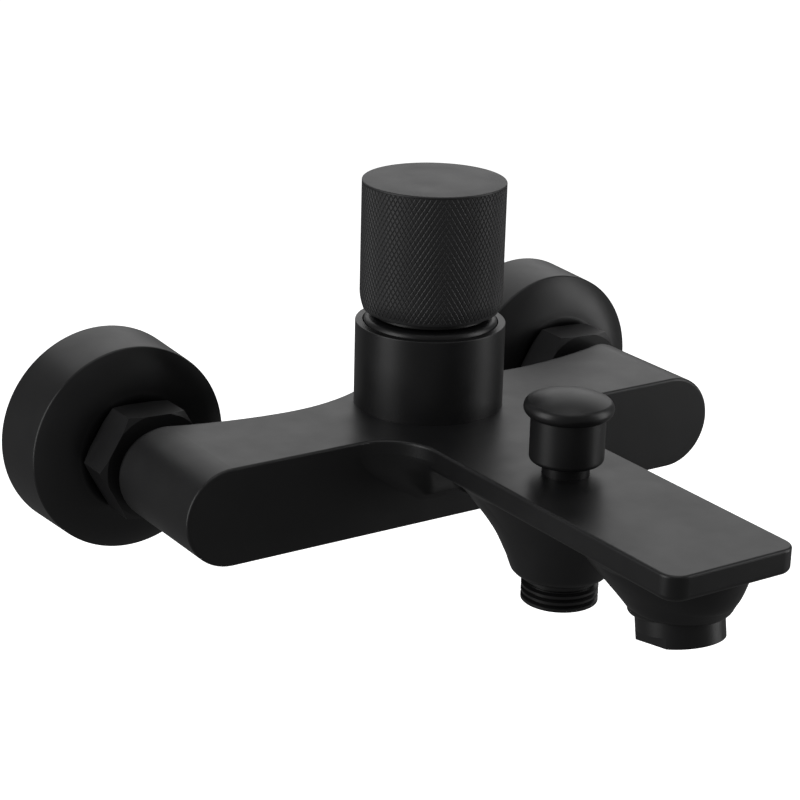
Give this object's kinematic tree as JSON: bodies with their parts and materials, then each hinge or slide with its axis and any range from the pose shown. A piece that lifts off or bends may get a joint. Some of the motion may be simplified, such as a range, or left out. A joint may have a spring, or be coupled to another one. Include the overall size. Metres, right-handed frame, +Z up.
{
  "type": "wall mounted bath mixer tap",
  "caption": "Exposed bath and shower mixer: flat blade spout, knurled lift-and-turn knob on a round housing, pull-up diverter, threaded hose outlet, two round wall roses.",
  "frame": {"origin": "on the wall plane, midway between the axes of the two union nuts", "axes": "+Z up, +Y into the wall, so the spout points along -Y; hot supply at -X, cold supply at +X"},
  "size_m": [0.2118, 0.2114, 0.1101],
  "materials": {
    "coated_brass": "cast or turned brass under a satin-matt black coating",
    "coated_steel": "pressed sheet steel under a satin-matt black coating",
    "brass": "machined, uncoated",
    "steel": "drawn or machined stainless steel",
    "ceramic": "lapped alumina ceramic",
    "valve_plastic": "moulded acetal",
    "rubber": "moulded nitrile rubber"
  },
  "bodies": {
    "base": {"aerator_gasket": "rubber", "aerator_housing": "coated_brass", "aerator_insert": "valve_plastic", "aerator_screen": "steel", "body": "coated_brass", "cartridge_base": "valve_plastic", "cartridge_nut": "brass", "cartridge_shell": "valve_plastic", "check_spring": "steel", "check_valve_body": "valve_plastic", "cover_ring": "coated_brass", "disc_gasket": "rubber", "diverter_cage": "coated_brass", "diverter_spring": "steel", "eccentric_union_cold": "coated_brass", "eccentric_union_hot": "coated_brass", "escutcheon_cold": "coated_steel", "escutcheon_hot": "coated_steel", "fixed_disc": "ceramic", "inlet_oring_cold": "rubber", "inlet_oring_hot": "rubber", "inlet_strainer_cold": "steel", "inlet_strainer_hot": "steel", "inlet_tail_cold": "coated_brass", "inlet_tail_hot": "coated_brass", "port_seal_cold": "rubber", "port_seal_hot": "rubber", "port_seal_mixed": "rubber", "shower_nipple": "coated_brass", "stem_oring": "rubber", "union_nut_cold": "coated_brass", "union_nut_hot": "coated_brass", "union_washer_cold": "rubber", "union_washer_hot": "rubber"},
    "rotor": {"rotor": "valve_plastic"},
    "shuttle": {"disc_carrier": "valve_plastic", "moving_disc": "ceramic"},
    "lift": {"lift_stem": "steel", "knob": "coated_brass", "knob_core": "coated_brass", "knob_screw": "steel", "knob_plug": "coated_steel"},
    "diverter": {"diverter_stem": "brass", "diverter_plate": "brass", "diverter_seal_lower": "rubber", "diverter_seal_upper": "rubber", "diverter_nut": "brass", "diverter_knob": "coated_brass"},
    "check_valve": {"check_poppet": "valve_plastic"}
  },
  "joints": [
    {"name": "temperature", "type": "hinge", "parent": "base", "child": "rotor", "pos_m": [0, -0.0603, 0.02], "axis": [0, 0, 1], "range_deg": [-50, 50]},
    {"name": "flow", "type": "slide", "parent": "rotor", "child": "lift", "axis": [0, 0, 1], "range_m": [0, 0.006]},
    {"name": "disc_slide", "type": "slide", "parent": "rotor", "child": "shuttle", "axis": [0, 1, 0], "range_m": [0, 0.00192]},
    {"name": "diverter_lift", "type": "slide", "parent": "base", "child": "diverter", "axis": [0, 0, 1], "range_m": [0, 0.008], "stiffness_N_per_m": 250, "springref_m": -0.006, "deforming": ["diverter_spring"]},
    {"name": "check_valve_lift", "type": "slide", "parent": "base", "child": "check_valve", "axis": [0, 0, -1], "range_m": [0, 0.0018], "stiffness_N_per_m": 150, "springref_m": -0.002, "deforming": ["check_spring"]}
  ],
  "couplings": [
    {"joint": "disc_slide", "follows": "flow", "ratio": 0.31667}
  ]
}
